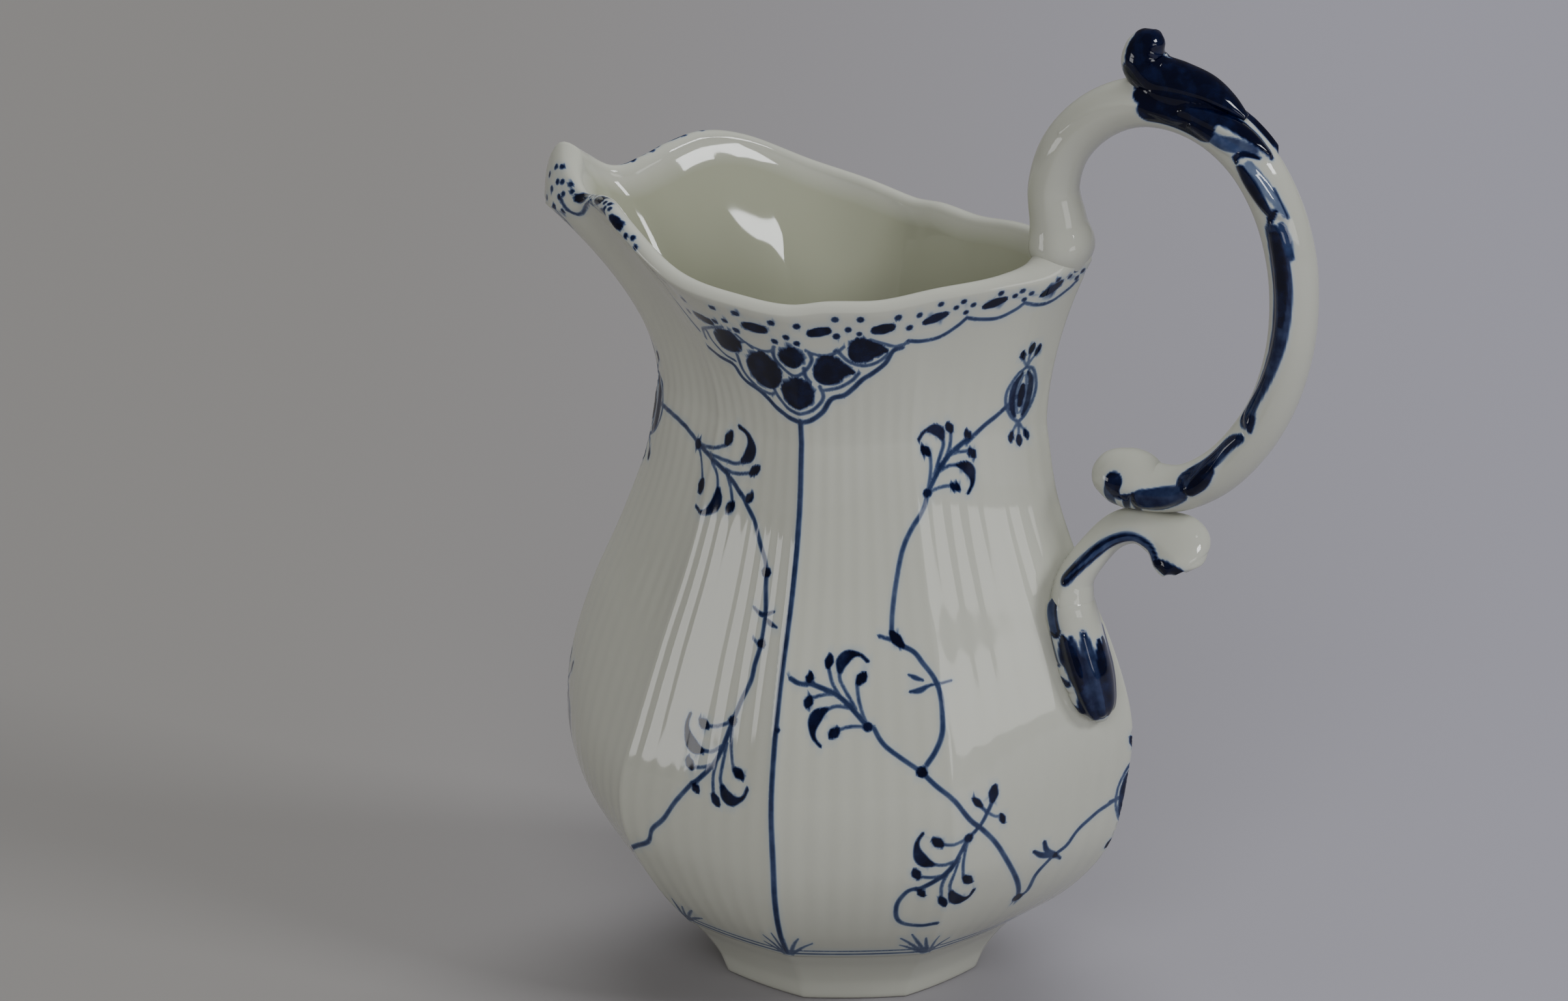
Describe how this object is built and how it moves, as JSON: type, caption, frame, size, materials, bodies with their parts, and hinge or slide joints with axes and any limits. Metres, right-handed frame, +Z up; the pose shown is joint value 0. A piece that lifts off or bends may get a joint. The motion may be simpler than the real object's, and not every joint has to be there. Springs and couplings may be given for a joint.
{
  "type": "cream jug",
  "caption": "Porcelain cream jug with an octagonal fluted belly, pulled spout, scalloped rim, foot ring and scrolled loop handle.",
  "frame": {"origin": "on the standing surface, halfway between the tip of the spout and the back of the handle", "axes": "+Z up; the handle points along +X and the spout along -X; the XZ plane is the plane of symmetry"},
  "size_m": [0.12, 0.069, 0.1506],
  "materials": {
    "glazed_porcelain": "glazed porcelain, white with cobalt underglaze painting",
    "foot_porcelain": "glazed porcelain, bare on the standing rim",
    "handle_porcelain": "glazed porcelain, white with cobalt leaves",
    "thumb_cobalt": "glazed porcelain, dark cobalt underglaze",
    "scroll_porcelain": "glazed porcelain, white with cobalt edges",
    "leaf_cobalt": "glazed porcelain, cobalt underglaze"
  },
  "bodies": {
    "root": {"body": "glazed_porcelain", "foot_ring": "foot_porcelain", "handle_loop": "handle_porcelain", "thumb_rest": "thumb_cobalt", "handle_scroll": "scroll_porcelain", "lower_leaf": "leaf_cobalt"}
  },
  "joints": []
}
